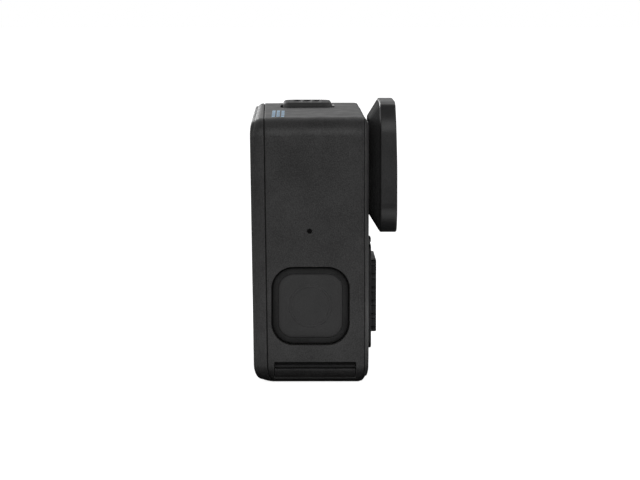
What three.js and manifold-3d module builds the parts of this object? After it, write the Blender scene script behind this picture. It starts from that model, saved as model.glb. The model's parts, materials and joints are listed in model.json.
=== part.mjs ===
import * as THREE from 'three';
import { mergeVertices } from 'three/addons/utils/BufferGeometryUtils.js';
import Module from 'manifold-3d';

const wasm = await Module();
wasm.setup();

// ---------------------------------------------------------------- driving sizes, millimetres
// The lens faces -Y, the shutter button is on top (+Z), the power button is on the -X side.

const BODY_W = 71.8;
const BODY_H = 50.8;
const BODY_FRONT = -8.6;
const BODY_REAR = 14.13;
const CORNER_R = 3.5;
const EDGE_R = 1.0;
const DEPTH_TAPER = 0.034;
const ARC_STEPS = 5;

const SEAM_FRONT = -7.76;
const SEAM_REAR = 11.45;
const SEAM_GAP = 0.3;
const COVER_REAR_END = 13.45;
const COVER_SLOPE = 0.6;
const GLASS_REAR_START = 13.55;

const CAVITY = { x0: -34.0, x1: 32.5, z0: 2.0, z1: 48.6, r: 2.0 };

const LENS = { x: -18.5, z: 40.9 };
const GUARD = { w: 26.2, h: 25.4, r: 6.0, front: -14.12, rimEnd: -10.85, neckEnd: -8.75, shrink: 3.7 };
const GUARD_WINDOW = { w: 18.4, h: 17.6, r: 3.0 };
const GUARD_GLASS = { w: 20.6, h: 19.8, r: 3.6, y0: -13.75, y1: -12.6 };
const SPIGOT_R = 7.9;
const GUARD_BORE_R = 8.2;
const BAYONET_LUGS = 3;

const SINK = { x0: -32.0, x1: -8.0, z0: 6.7, z1: 26.2, face: -9.1 };
const FINS = { x0: -29.6, x1: -10.4, z0: 9.25, z1: 23.15, face: -10.05, first: 9.75, pitch: 2.55 };
const FIN_GROOVES = 6;

const POWER = { y: 2.56, z: 15.0, recess: 15.0, recessR: 4.1, pad: 12.25, padR: 2.9 };
const POWER_TRAVEL = 0.5;
const SHUTTER = { x: 16.75, y: 2.9, w: 16.0, d: 10.0, r: 3.0, top: 51.8 };
const SHUTTER_TRAVEL = 0.6;

const DOOR = { y0: -5.9, y1: 8.9, z0: 4.5, top: 43.5, x0: 34.0, x1: 35.85 };
const DOOR_MOUTH = { y0: -4.6, y1: 7.6, z0: 5.4, z1: 41.0, r: 1.6 };
const DOOR_PIN_R = 0.45;

const BASE = { x: 26.0, y0: -6.7, y1: 9.6, top: 5.6 };
const FINGER = { y: 1.6, r: 7.3, hinge: 4.6, pivot: 3.15, thick: 3.0, length: 19.4, bore: 2.5 };
const FINGER_KNUCKLE_R = 1.45;
const FINGER_PIN_R = 0.7;

const GRILLE = { y0: -6.05, y1: 9.4, barTop: 2.9, slotTop: 4.2, depth: 1.2 };
const SIDE_HOLE = { y: 2.73, z: 29.5, r: 0.5 };

// ---------------------------------------------------------------- solids from geometries

function solid(geometry) {
  geometry.deleteAttribute('normal');
  geometry.deleteAttribute('uv');
  const welded = mergeVertices(geometry, 1e-4);
  const index = welded.index.array;
  const triangles = [];
  for (let i = 0; i < index.length; i += 3) {
    const [a, b, c] = [index[i], index[i + 1], index[i + 2]];
    if (a !== b && b !== c && c !== a) {
      triangles.push(a, b, c);
    }
  }
  return new wasm.Manifold(new wasm.Mesh({
    numProp: 3,
    vertProperties: new Float32Array(welded.attributes.position.array),
    triVerts: new Uint32Array(triangles),
  }));
}

function geometryOf(body) {
  const mesh = body.getMesh();
  const geometry = new THREE.BufferGeometry();
  const positions = new Float32Array(mesh.vertProperties);
  geometry.setAttribute('position', new THREE.BufferAttribute(positions, 3));
  geometry.setIndex(new THREE.BufferAttribute(new Uint32Array(mesh.triVerts), 1));
  geometry.computeVertexNormals();
  return geometry;
}

function joined(...bodies) {
  return bodies.reduce((whole, body) => whole.add(body));
}

function cut(body, ...tools) {
  return tools.reduce((rest, tool) => rest.subtract(tool), body);
}

// ---------------------------------------------------------------- outlines and prisms

function roundedRect(cx, cy, width, height, radius) {
  const x = width / 2 - radius;
  const y = height / 2 - radius;
  const shape = new THREE.Shape();
  shape.absarc(cx + x, cy + y, radius, 0, Math.PI / 2);
  shape.absarc(cx - x, cy + y, radius, Math.PI / 2, Math.PI);
  shape.absarc(cx - x, cy - y, radius, Math.PI, 1.5 * Math.PI);
  shape.absarc(cx + x, cy - y, radius, 1.5 * Math.PI, 2 * Math.PI);
  shape.closePath();
  return shape;
}

function rectBetween(u0, u1, v0, v1, radius) {
  return roundedRect((u0 + u1) / 2, (v0 + v1) / 2, u1 - u0, v1 - v0, radius);
}

// The edge, where given, is { size, height, steps }: how far it steps in, over what length.
function extruded(shape, length, edge) {
  if (!edge) {
    return new THREE.ExtrudeGeometry(shape, {
      depth: length,
      bevelEnabled: false,
      curveSegments: ARC_STEPS,
    });
  }
  const geometry = new THREE.ExtrudeGeometry(shape, {
    depth: length - 2 * edge.height,
    bevelEnabled: true,
    bevelThickness: edge.height,
    bevelSize: edge.size,
    bevelOffset: -edge.size,
    bevelSegments: edge.steps,
    curveSegments: ARC_STEPS,
  });
  geometry.translate(0, 0, edge.height);
  return geometry;
}

// A prism along Z of an outline drawn in X and Y.
function alongZ(shape, z0, z1, edge) {
  const geometry = extruded(shape, z1 - z0, edge);
  geometry.translate(0, 0, z0);
  return solid(geometry);
}

// A prism along Y of an outline drawn in X and Z.
function alongY(shape, y0, y1, edge) {
  const geometry = extruded(shape, y1 - y0, edge);
  geometry.rotateX(Math.PI / 2);
  geometry.translate(0, y1, 0);
  return solid(geometry);
}

// A prism along X of an outline drawn in Y and Z.
function alongX(shape, x0, x1, edge) {
  const geometry = extruded(shape, x1 - x0, edge);
  const turn = new THREE.Matrix4().makeBasis(
    new THREE.Vector3(0, 1, 0),
    new THREE.Vector3(0, 0, 1),
    new THREE.Vector3(1, 0, 0),
  );
  geometry.applyMatrix4(turn);
  geometry.translate(x0, 0, 0);
  return solid(geometry);
}

function block(x0, x1, y0, y1, z0, z1) {
  const geometry = new THREE.BoxGeometry(x1 - x0, y1 - y0, z1 - z0);
  geometry.translate((x0 + x1) / 2, (y0 + y1) / 2, (z0 + z1) / 2);
  return solid(geometry);
}

function rodY(x, z, radius, y0, y1, sides = 24) {
  const geometry = new THREE.CylinderGeometry(radius, radius, y1 - y0, sides);
  geometry.translate(x, (y0 + y1) / 2, z);
  return solid(geometry);
}

function rodX(y, z, radius, x0, x1, sides = 24) {
  const geometry = new THREE.CylinderGeometry(radius, radius, x1 - x0, sides);
  geometry.rotateZ(Math.PI / 2);
  geometry.translate((x0 + x1) / 2, y, z);
  return solid(geometry);
}

function rodZ(x, y, radius, z0, z1, sides = 24) {
  const geometry = new THREE.CylinderGeometry(radius, radius, z1 - z0, sides);
  geometry.rotateX(Math.PI / 2);
  geometry.translate(x, y, (z0 + z1) / 2);
  return solid(geometry);
}

// A body turned about the lens axis; each profile point is [radius, y], counter-clockwise.
function turned(profile, sides = 30) {
  const points = profile.map(([r, y]) => new THREE.Vector2(r, y));
  if (profile[0][0] > 0) {
    points.push(points[0].clone());
  }
  const geometry = new THREE.LatheGeometry(points, sides);
  geometry.translate(LENS.x, 0, LENS.z);
  return solid(geometry);
}

// The body is a little shallower at its base than at its top: depth is taken off towards z = 0.
function tapered(body) {
  const geometry = geometryOf(body);
  const position = geometry.attributes.position;
  for (let i = 0; i < position.count; i += 1) {
    const depth = position.getY(i) - BODY_FRONT;
    const share = DEPTH_TAPER * (1 - position.getZ(i) / BODY_H);
    position.setY(i, position.getY(i) - depth * share);
  }
  return solid(geometry);
}

// ---------------------------------------------------------------- materials

const FINISHES = {
  shell: { color: 0x35353a, roughness: 0.72, metalness: 0.0 },
  shellSoft: { color: 0x2f2f33, roughness: 0.85, metalness: 0.0 },
  metalDark: { color: 0x3a3a3e, roughness: 0.45, metalness: 0.9 },
  metalBright: { color: 0xb8bbc0, roughness: 0.3, metalness: 1.0 },
  glassDark: { color: 0x0c0d10, roughness: 0.06, metalness: 0.0 },
  glassClear: { color: 0xd8e4e8, roughness: 0.03, metalness: 0.0 },
  rubber: { color: 0x1a1a1c, roughness: 0.92, metalness: 0.0 },
  board: { color: 0x14402c, roughness: 0.6, metalness: 0.1 },
  cell: { color: 0x2a3138, roughness: 0.55, metalness: 0.0 },
  accent: { color: 0x6fa6c8, roughness: 0.6, metalness: 0.0 },
  sensor: { color: 0x2c2440, roughness: 0.2, metalness: 0.3 },
};

const camera = new THREE.Group();
camera.name = 'action_camera';

function place(name, body, finish) {
  const mesh = new THREE.Mesh(geometryOf(body), new THREE.MeshStandardMaterial(FINISHES[finish]));
  mesh.name = name;
  camera.add(mesh);
}

// ---------------------------------------------------------------- outer shell

const OUTLINE = rectBetween(-BODY_W / 2, BODY_W / 2, 0, BODY_H, CORNER_R);

function shellBlank() {
  return alongY(OUTLINE, BODY_FRONT, BODY_REAR, { size: EDGE_R, height: EDGE_R, steps: 4 });
}

function slab(y0, y1) {
  return block(-50, 50, y0, y1, -10, 70);
}

function cavity(y0, y1) {
  return alongY(rectBetween(CAVITY.x0, CAVITY.x1, CAVITY.z0, CAVITY.z1, CAVITY.r), y0, y1);
}

function baseCutter(grow) {
  const shape = rectBetween(-BASE.x - grow, BASE.x + grow, BASE.y0 - grow, BASE.y1 + grow, 1.5);
  return alongZ(shape, -1, BASE.top + grow);
}

function grilleCutter() {
  const shape = rectBetween(GRILLE.y0 - 0.12, GRILLE.y1 + 0.12, -3, GRILLE.slotTop, 0.5);
  return alongX(shape, -BODY_W / 2 - 1, -BODY_W / 2 + GRILLE.depth);
}

function powerRecess() {
  const shape = roundedRect(POWER.y, POWER.z, POWER.recess, POWER.recess, POWER.recessR);
  return alongX(shape, -BODY_W / 2 - 1, -BODY_W / 2 + 1.4);
}

function shutterRecess() {
  const shape = roundedRect(SHUTTER.x, SHUTTER.y, SHUTTER.w + 0.7, SHUTTER.d + 0.7, SHUTTER.r + 0.35);
  return alongZ(shape, 48.9, BODY_H + 1);
}

function doorRecess() {
  const shape = rectBetween(DOOR.y0 - 0.2, DOOR.y1 + 0.2, DOOR.z0 - 0.25, DOOR.top + 0.3, 0.8);
  return alongX(shape, DOOR.x0 - 0.1, BODY_W / 2 + 1);
}

function doorMouth() {
  const shape = rectBetween(DOOR_MOUTH.y0, DOOR_MOUTH.y1, DOOR_MOUTH.z0, DOOR_MOUTH.z1, DOOR_MOUTH.r);
  return alongX(shape, CAVITY.x1 - 1, DOOR.x0 + 1);
}

function doorAxis() {
  const half = (DOOR.x1 - DOOR.x0) / 2;
  return { x: DOOR.x0 + half, z: DOOR.top - half, r: half };
}

function mainHousing() {
  const ring = tapered(shellBlank().intersect(slab(SEAM_FRONT + 0.04, SEAM_REAR - SEAM_GAP / 2)));
  const hollow = cut(ring, cavity(-20, 30));
  const boss = alongZ(roundedRect(SHUTTER.x, SHUTTER.y, 20, 13, 2), 47.4, 48.8);
  const axis = doorAxis();
  return cut(
    joined(hollow, boss),
    baseCutter(0.12),
    grilleCutter(),
    powerRecess(),
    rodX(POWER.y, POWER.z, 2.2, -40, -30),
    rodX(SIDE_HOLE.y, SIDE_HOLE.z, SIDE_HOLE.r, -40, -33, 16),
    shutterRecess(),
    rodZ(SHUTTER.x, SHUTTER.y, 2.05, 45, 50),
    doorRecess(),
    doorMouth(),
    rodY(LENS.x, LENS.z, SPIGOT_R + 0.2, -9, -6.85, 48),
    rodY(axis.x, axis.z, DOOR_PIN_R + 0.05, -7.05, 10.05, 16),
  );
}

function frontCover() {
  const plate = tapered(shellBlank().intersect(slab(-30, SEAM_FRONT - 0.04)));
  const plug = alongY(
    rectBetween(CAVITY.x0 + 0.15, CAVITY.x1 - 0.15, CAVITY.z0 + 0.15, CAVITY.z1 - 0.15, 1.9),
    -8.0,
    -7.1,
  );
  const neck = rectBetween(-29.2, -10.8, 8.4, 24.0, 1.2);
  return cut(
    joined(plate, plug),
    rodY(LENS.x, LENS.z, SPIGOT_R + 0.03, -12, -5, 48),
    alongY(neck, -12, -5),
    alongY(rectBetween(-1.1, 32.7, 5.9, 46.1, 2.1), -12, -7.88),
    alongY(rectBetween(5.0, 29.0, 13.0, 39.0, 1.0), -12, -5),
    rodY(-4.0, 29.0, 0.85, -12, -5, 16),
  );
}

function rearOutline(y0, y1, edge) {
  return tapered(alongY(OUTLINE, y0, y1, edge));
}

function rearCover() {
  const length = COVER_REAR_END - SEAM_REAR - SEAM_GAP / 2;
  const sloped = alongY(OUTLINE, SEAM_REAR - length, COVER_REAR_END, {
    size: COVER_SLOPE,
    height: length,
    steps: 1,
  });
  const ring = tapered(sloped.intersect(slab(SEAM_REAR + SEAM_GAP / 2, 20)));
  return cut(ring, alongY(rectBetween(-32.4, 31.9, 5.8, 46.4, 1.0), 5, 20));
}

function rearCoverSeal() {
  const outer = roundedRect(0, BODY_H / 2, BODY_W - 1.6, BODY_H - 1.6, CORNER_R - 0.8);
  const inner = roundedRect(0, BODY_H / 2, BODY_W - 3.4, BODY_H - 3.4, CORNER_R - 1.7);
  outer.holes.push(inner);
  return tapered(alongY(outer, SEAM_REAR - SEAM_GAP / 2, SEAM_REAR + SEAM_GAP / 2));
}

function rearScreenGlass() {
  const shape = roundedRect(0, BODY_H / 2, BODY_W - 1.3, BODY_H - 1.3, CORNER_R + 0.6);
  return tapered(alongY(shape, GLASS_REAR_START, BODY_REAR, { size: 0.3, height: 0.3, steps: 2 }));
}

function rearDisplayModule() {
  return alongY(rectBetween(-31.9, 31.4, 6.3, 45.9, 0.8), 9.4, 12.5);
}

function frontScreenGlass() {
  return alongY(rectBetween(-0.9, 32.5, 6.1, 45.9, 2.0), -8.68, -7.93, { size: 0.2, height: 0.2, steps: 1 });
}

function frontDisplayModule() {
  return alongY(rectBetween(4.0, 30.0, 12.0, 40.0, 0.8), -7.08, -5.4);
}

function statusLight() {
  const lens = rodY(-4.0, 29.0, 0.8, -8.65, -6.8, 16);
  const flange = rodY(-4.0, 29.0, 1.5, -7.05, -6.4, 20);
  return joined(lens, flange);
}

// ---------------------------------------------------------------- heat sink

function heatSink() {
  const plate = alongY(rectBetween(SINK.x0, SINK.x1, SINK.z0, SINK.z1, 1.4), SINK.face, BODY_FRONT - 0.02);
  const stem = alongY(rectBetween(-29.0, -11.0, 8.6, 23.8, 1.0), -8.8, -6.6);
  const contact = alongY(rectBetween(-27.5, -12.5, 9.6, 23.2, 0.8), -6.7, 0.6);
  const fins = alongY(rectBetween(FINS.x0, FINS.x1, FINS.z0, FINS.z1, 0.8), FINS.face, -8.8);
  const grooves = [];
  for (let i = 0; i < FIN_GROOVES; i += 1) {
    const z = FINS.first + i * FINS.pitch;
    grooves.push(block(FINS.x0 - 1, FINS.x1 + 1, FINS.face - 1, SINK.face, z - 0.45, z + 0.45));
  }
  return joined(cut(fins, ...grooves), plate, stem, contact);
}

// ---------------------------------------------------------------- lens and sensor

function lensMountRing() {
  const spigot = turned([[7.0, -11.5], [SPIGOT_R, -11.5], [SPIGOT_R, -7.0], [7.0, -7.0]], 48);
  const lugs = [];
  for (let i = 0; i < BAYONET_LUGS; i += 1) {
    const lug = new THREE.BoxGeometry(2.6, 0.5, 1.4);
    lug.translate(0, -11.25, 7.9);
    lug.rotateY((i * 2 * Math.PI) / BAYONET_LUGS);
    lug.translate(LENS.x, 0, LENS.z);
    lugs.push(solid(lug));
  }
  return joined(spigot, ...lugs);
}

function lensBarrel() {
  return turned([
    [5.95, -12.2],
    [6.95, -12.0],
    [6.95, -3.0],
    [6.0, -2.6],
    [6.0, 0.4],
    [3.6, 0.4],
    [3.6, -3.6],
    [4.6, -3.6],
    [4.6, -7.0],
    [5.2, -7.0],
    [5.2, -9.6],
    [5.95, -9.6],
  ]);
}

// The outline of a lens with curved faces, from the axis at its front to the axis at its back.
function elementProfile(radius, front, frontRise, back, backRise) {
  const steps = 4;
  const points = [];
  for (let i = 0; i <= steps; i += 1) {
    const r = (radius * i) / steps;
    points.push([r, front + frontRise * (r / radius) ** 2]);
  }
  for (let i = steps; i >= 0; i -= 1) {
    const r = (radius * i) / steps;
    points.push([r, back - backRise * (r / radius) ** 2]);
  }
  return points;
}

function sensorHolder() {
  const plate = alongY(rectBetween(-26.3, -10.7, 33.4, 48.3, 1.0), 0.45, 3.15);
  return cut(plate, alongY(rectBetween(-22.9, -14.1, 37.4, 44.7, 0.4), -1, 5));
}

// ---------------------------------------------------------------- lens guard, turns off the camera

function lensGuardFrame() {
  const outline = roundedRect(LENS.x, LENS.z, GUARD.w, GUARD.h, GUARD.r);
  const rim = alongY(outline, GUARD.front, GUARD.rimEnd, { size: 0.9, height: 0.9, steps: 4 });
  const rimBack = alongY(outline, GUARD.front + 1.2, GUARD.rimEnd);
  const neckLength = GUARD.neckEnd - GUARD.rimEnd;
  const neck = alongY(outline, GUARD.rimEnd - neckLength - 0.1, GUARD.neckEnd, {
    size: GUARD.shrink,
    height: neckLength,
    steps: 1,
  });
  const front = GUARD.front;
  const notches = [];
  for (let i = 0; i < BAYONET_LUGS; i += 1) {
    const notch = new THREE.BoxGeometry(3.0, 3.0, 1.6);
    notch.translate(0, -9.5, 7.95);
    notch.rotateY((i * 2 * Math.PI) / BAYONET_LUGS + Math.PI / 4);
    notch.translate(LENS.x, 0, LENS.z);
    notches.push(solid(notch));
  }
  const rebate = roundedRect(LENS.x, LENS.z, GUARD_GLASS.w + 0.16, GUARD_GLASS.h + 0.16, GUARD_GLASS.r);
  const window = roundedRect(LENS.x, LENS.z, GUARD_WINDOW.w, GUARD_WINDOW.h, GUARD_WINDOW.r);
  return cut(
    joined(rim.intersect(slab(front - 1, GUARD.rimEnd - 1.0)), rimBack, neck),
    alongY(rebate, front - 1, GUARD_GLASS.y1),
    alongY(window, front - 1, -12.3),
    rodY(LENS.x, LENS.z, 9.2, -12.4, -10.85, 48),
    rodY(LENS.x, LENS.z, GUARD_BORE_R, -11.2, -8, 48),
    rodY(LENS.x, LENS.z, 8.5, -10.4, -9.75, 48),
    ...notches,
  );
}

function lensGuardSeal() {
  return turned([[7.95, -10.35], [8.45, -10.35], [8.45, -9.8], [7.95, -9.8]], 48);
}

// ---------------------------------------------------------------- battery bay behind the side door

function batteryTray() {
  const outer = alongX(rectBetween(-4.9, 7.9, 15.2, 41.2, 1.0), -4.0, 32.3);
  return cut(outer, alongX(rectBetween(-4.2, 7.2, 15.9, 40.5, 0.8), -3.3, 40));
}

function battery() {
  return alongX(rectBetween(-4.0, 7.0, 16.1, 40.3, 1.2), -2.0, 31.3, { size: 0.4, height: 0.4, steps: 1 });
}

function batteryContacts() {
  return alongX(rectBetween(-2.5, 5.5, 24.0, 32.0, 0.4), -3.25, -2.05);
}

function batteryPullTab() {
  return alongX(rectBetween(-1.0, 4.0, 19.0, 37.0, 1.0), 31.35, 31.75);
}

function sdCardSlot() {
  const outer = block(15.5, 31.0, -4.8, 7.8, 11.0, 14.4);
  return cut(outer, block(16.5, 40, -4.1, 7.1, 12.1, 13.2));
}

function usbPort() {
  const outer = alongX(rectBetween(-3.0, 6.0, 6.6, 9.9, 1.55), 24.5, 32.3);
  const mouth = alongX(rectBetween(-2.55, 5.55, 7.05, 9.45, 1.1), 25.5, 40);
  const tongue = alongX(rectBetween(-1.8, 4.8, 7.95, 8.55, 0.2), 25.0, 31.3);
  return joined(cut(outer, mouth), tongue);
}

function batteryDoor() {
  const axis = doorAxis();
  const plate = alongX(rectBetween(DOOR.y0, DOOR.y1, DOOR.z0, axis.z + 0.8, 0.75), DOOR.x0, DOOR.x1);
  const square = cut(plate, block(30, 40, -20, 20, axis.z, 60));
  const knuckle = rodY(axis.x, axis.z, axis.r, DOOR.y0, DOOR.y1, 32);
  const pocket = alongX(rectBetween(-2.5, 5.5, 6.0, 12.5, 0.7), DOOR.x1 - 0.95, DOOR.x1 + 1);
  return cut(
    joined(square, knuckle),
    rodY(axis.x, axis.z, DOOR_PIN_R + 0.05, -10, 12, 16),
    pocket,
  );
}

function doorSeal() {
  const outer = rectBetween(DOOR_MOUTH.y0 + 0.25, DOOR_MOUTH.y1 - 0.25, 5.65, 40.75, 1.4);
  outer.holes.push(rectBetween(DOOR_MOUTH.y0 + 1.15, DOOR_MOUTH.y1 - 1.15, 6.55, 39.85, 0.9));
  return alongX(outer, DOOR.x0 - 0.75, DOOR.x0);
}

function doorLatch() {
  const plate = alongX(rectBetween(-2.2, 5.2, 6.3, 10.7, 0.6), DOOR.x1 - 0.9, DOOR.x1 - 0.02);
  const grips = [];
  for (let i = 0; i < 4; i += 1) {
    const z = 7.3 + i * 0.8;
    grips.push(block(DOOR.x1 - 0.3, DOOR.x1 + 1, -1.4, 4.4, z - 0.15, z + 0.15));
  }
  return cut(plate, ...grips);
}

// ---------------------------------------------------------------- buttons, sound and boards

function powerButton() {
  const outline = roundedRect(POWER.y, POWER.z, POWER.pad, POWER.pad, POWER.padR);
  const pad = alongX(outline, -35.72, -35.1, { size: 0.2, height: 0.2, steps: 2 });
  const groove = cut(
    rodX(POWER.y, POWER.z, 4.1, -36.5, -35.6, 40),
    rodX(POWER.y, POWER.z, 3.75, -37, -35, 40),
  );
  return joined(cut(pad, groove), rodX(POWER.y, POWER.z, 2.0, -35.2, -33.3));
}

function ringX(y, z, inner, outer, x0, x1) {
  return cut(rodX(y, z, outer, x0, x1), rodX(y, z, inner, x0 - 1, x1 + 1));
}

function shutterButton() {
  const outline = roundedRect(SHUTTER.x, SHUTTER.y, SHUTTER.w, SHUTTER.d, SHUTTER.r);
  const cap = alongZ(outline, 48.4, SHUTTER.top, { size: 0.55, height: 0.9, steps: 3 });
  const head = cap.intersect(block(0, 40, -10, 20, 49.55, 60));
  return joined(head, rodZ(SHUTTER.x, SHUTTER.y, 1.85, 46.6, 50));
}

function shutterSeal() {
  const ring = rodZ(SHUTTER.x, SHUTTER.y, 3.4, 46.9, 47.38);
  return cut(ring, rodZ(SHUTTER.x, SHUTTER.y, 1.95, 46, 48));
}

function speakerCover() {
  const bar = alongX(rectBetween(GRILLE.y0, GRILLE.y1, -3, GRILLE.barTop, 0.4), -40, -34.9);
  return tapered(shellBlank()).intersect(bar);
}

function basePlate() {
  const plate = alongZ(rectBetween(-BASE.x, BASE.x, BASE.y0, BASE.y1, 1.5), 0, BASE.top);
  const reach = FINGER.hinge + FINGER.length + 0.25;
  const gap = FINGER.r + 0.2;
  const recess = alongZ(rectBetween(-reach, reach, FINGER.y - gap, FINGER.y + gap, 7.2), -1, 3.4);
  const trench = block(-6.4, 6.4, FINGER.y - gap, FINGER.y + gap, -1, 4.85);
  const holes = [-1, 1].map((side) =>
    rodY(side * FINGER.hinge, FINGER.pivot, FINGER_PIN_R + 0.02, -6.35, 9.45, 20));
  return cut(plate, recess, trench, ...holes);
}

function fingerPlate(side) {
  const x0 = FINGER.hinge;
  const x1 = FINGER.hinge + FINGER.length - FINGER.r;
  const shape = new THREE.Shape();
  shape.moveTo(x0, FINGER.y - FINGER.r);
  shape.lineTo(x1, FINGER.y - FINGER.r);
  shape.absarc(x1, FINGER.y, FINGER.r, -Math.PI / 2, Math.PI / 2);
  shape.lineTo(x0, FINGER.y + FINGER.r);
  shape.closePath();
  const z1 = FINGER.pivot;
  const plate = alongZ(shape, z1 - FINGER.thick, z1);
  const knuckle = rodY(x0, z1, FINGER_KNUCKLE_R, FINGER.y - FINGER.r, FINGER.y + FINGER.r, 32);
  const body = cut(
    joined(plate, knuckle),
    rodY(x0, z1, FINGER_PIN_R + 0.05, -10, 12, 20),
    rodZ(x1, FINGER.y, FINGER.bore, -2, 5, 32),
  );
  return side > 0 ? body : body.rotate([0, 0, 180]).translate([0, 2 * FINGER.y, 0]);
}

// ---------------------------------------------------------------- the assembly

place('main_housing', mainHousing(), 'shell');
place('front_cover', frontCover(), 'shell');
place('rear_cover', rearCover(), 'shell');
place('rear_cover_seal', rearCoverSeal(), 'rubber');
place('rear_screen_glass', rearScreenGlass(), 'glassDark');
place('rear_display_module', rearDisplayModule(), 'metalBright');
place('front_screen_glass', frontScreenGlass(), 'glassDark');
place('front_display_module', frontDisplayModule(), 'metalBright');
place('status_light', statusLight(), 'glassClear');

place('heat_sink', heatSink(), 'metalDark');
place('thermal_pad', alongY(rectBetween(-26.0, -14.0, 10.5, 22.3, 0.5), 0.62, 1.58), 'cell');
place('processor_shield', alongY(rectBetween(-27.0, -13.0, 9.6, 23.4, 0.7), 1.6, 5.18), 'metalBright');
place('main_board', alongY(rectBetween(-33.0, -6.5, 6.4, 31.5, 1.0), 5.2, 6.2), 'board');

place('lens_mount_ring', lensMountRing(), 'metalDark');
place('lens_barrel', lensBarrel(), 'metalDark');
place('lens_front_element', turned(elementProfile(5.9, -11.85, 1.4, -9.62, 0.3)), 'glassClear');
place('lens_retaining_ring', turned([[5.3, -12.1], [5.92, -12.1], [5.92, -10.85], [5.3, -10.85]]), 'metalDark');
place('lens_inner_element', turned(elementProfile(4.55, -6.8, 0.5, -3.62, 0.4)), 'glassClear');
place('sensor_holder', sensorHolder(), 'metalDark');
place('image_sensor', alongY(rectBetween(-22.3, -14.7, 38.0, 44.1, 0.3), 2.1, 3.2), 'sensor');
place('sensor_board', alongY(rectBetween(-26.5, -10.5, 33.0, 48.4, 0.8), 3.22, 4.0), 'board');

place('lens_guard_frame', lensGuardFrame(), 'metalDark');
place(
  'lens_guard_glass',
  alongY(roundedRect(LENS.x, LENS.z, GUARD_GLASS.w, GUARD_GLASS.h, GUARD_GLASS.r), GUARD_GLASS.y0, GUARD_GLASS.y1),
  'glassClear',
);
place('lens_guard_seal', lensGuardSeal(), 'rubber');

place('battery_tray', batteryTray(), 'shellSoft');
place('battery', battery(), 'cell');
place('battery_pull_tab', batteryPullTab(), 'accent');
place('battery_contacts', batteryContacts(), 'metalBright');
place('sd_card_slot', sdCardSlot(), 'metalBright');
place('sd_card', alongZ(rectBetween(17.0, 31.8, -4.0, 7.0, 0.5), 12.3, 13.0), 'shellSoft');
place('usb_port', usbPort(), 'metalBright');
place('battery_door', batteryDoor(), 'shell');
place('door_seal', doorSeal(), 'rubber');
place('door_hinge_pin', rodY(doorAxis().x, doorAxis().z, DOOR_PIN_R, -7.0, 10.0, 16), 'metalBright');
place('door_latch', doorLatch(), 'shellSoft');

place('power_button', powerButton(), 'shell');
place('power_button_seal', ringX(POWER.y, POWER.z, 2.1, 3.3, -33.98, -33.4), 'rubber');
place('power_switch', alongX(rectBetween(0.6, 5.18, 13.0, 17.0, 0.4), -32.7, -30.7), 'metalBright');
place('shutter_button', shutterButton(), 'shell');
place('shutter_seal', shutterSeal(), 'rubber');
place('shutter_switch', alongZ(rectBetween(14.2, 19.3, 0.4, 5.4, 0.4), 42.2, 45.9), 'metalBright');
place('button_board', alongZ(rectBetween(9.0, 24.0, -2.5, 7.0, 0.6), 41.25, 42.18), 'board');
place('speaker', alongX(rectBetween(-5.5, 4.5, 6.5, 11.5, 1.0), -33.9, -31.0), 'metalDark');
place('speaker_cover', speakerCover(), 'shell');
place('side_microphone', alongX(rectBetween(1.2, 4.2, 28.0, 31.0, 0.3), -33.9, -32.7), 'metalBright');

place('base_plate', basePlate(), 'shellSoft');
place('finger_left', fingerPlate(-1), 'shell');
place('finger_right', fingerPlate(1), 'shell');
place('finger_pin_left', rodY(-FINGER.hinge, FINGER.pivot, FINGER_PIN_R, -6.3, 9.4, 20), 'metalBright');
place('finger_pin_right', rodY(FINGER.hinge, FINGER.pivot, FINGER_PIN_R, -6.3, 9.4, 20), 'metalBright');

export default camera;
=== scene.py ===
import json
import math

import bmesh
import bpy
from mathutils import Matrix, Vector


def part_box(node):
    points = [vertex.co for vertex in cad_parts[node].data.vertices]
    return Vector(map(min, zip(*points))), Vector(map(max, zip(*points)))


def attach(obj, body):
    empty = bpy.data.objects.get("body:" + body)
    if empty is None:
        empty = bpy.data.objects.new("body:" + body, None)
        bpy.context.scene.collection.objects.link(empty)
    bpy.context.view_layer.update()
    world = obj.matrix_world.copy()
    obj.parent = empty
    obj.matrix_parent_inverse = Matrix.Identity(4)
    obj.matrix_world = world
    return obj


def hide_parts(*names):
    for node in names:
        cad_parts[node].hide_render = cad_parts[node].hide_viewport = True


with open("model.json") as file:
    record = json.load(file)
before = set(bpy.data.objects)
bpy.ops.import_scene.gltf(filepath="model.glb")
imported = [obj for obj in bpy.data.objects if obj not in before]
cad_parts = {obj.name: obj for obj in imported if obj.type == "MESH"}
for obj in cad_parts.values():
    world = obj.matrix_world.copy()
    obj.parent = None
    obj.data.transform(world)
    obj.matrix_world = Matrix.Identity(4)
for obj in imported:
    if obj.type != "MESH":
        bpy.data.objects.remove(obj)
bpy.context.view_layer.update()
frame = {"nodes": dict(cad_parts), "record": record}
NODES = frame["nodes"]

MM = 0.001

# ------------------------------------------------------------------ sizes in millimetres, from the CAD model


def node_box(node):
    low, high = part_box(node)
    return [v / MM for v in low], [v / MM for v in high]


HOUSING_HIGH = node_box("main_housing")[1]
HALF_W = HOUSING_HIGH[0]
BODY_H = HOUSING_HIGH[2]
BODY_FRONT = node_box("front_cover")[0][1]
BODY_REAR = node_box("rear_screen_glass")[1][1]
CORNER_R = 3.5
DEPTH_TAPER = 0.034

GUARD_LOW, GUARD_HIGH = node_box("lens_guard_frame")
LENS_X = (GUARD_LOW[0] + GUARD_HIGH[0]) / 2
LENS_Z = (GUARD_LOW[2] + GUARD_HIGH[2]) / 2

PAD_LOW, PAD_HIGH = node_box("power_button")
PAD_Y = (PAD_LOW[1] + PAD_HIGH[1]) / 2
PAD_Z = (PAD_LOW[2] + PAD_HIGH[2]) / 2 - 0.1
MIC_Y, MIC_Z = 2.73, 29.22

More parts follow.
